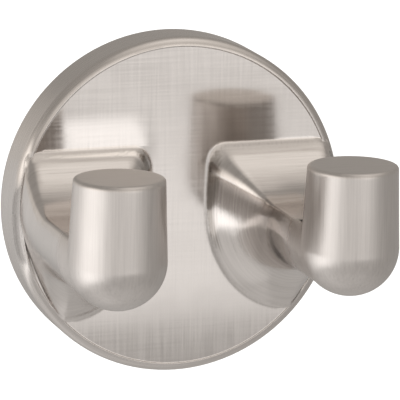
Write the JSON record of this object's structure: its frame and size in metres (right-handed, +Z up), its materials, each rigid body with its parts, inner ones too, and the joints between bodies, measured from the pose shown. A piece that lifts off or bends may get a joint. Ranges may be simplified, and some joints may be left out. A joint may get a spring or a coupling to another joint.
{
  "type": "double robe hook",
  "caption": "Wall hook for robes: a round plate with a pair of flared arms, each ending in an upright round end with a flat top; concealed wall bracket.",
  "frame": {"origin": "centre of the round plate, on the wall", "axes": "+Z up, +Y into the wall, +X to the right as seen from the front"},
  "size_m": [0.076, 0.061, 0.076],
  "materials": {
    "satin_nickel": "satin nickel, finely brushed",
    "plated_steel": "zinc plated",
    "screw_steel": "plain stainless"
  },
  "bodies": {
    "root": {"hook_body": "satin_nickel", "wall_bracket": "plated_steel", "set_screw": "screw_steel"}
  },
  "joints": []
}
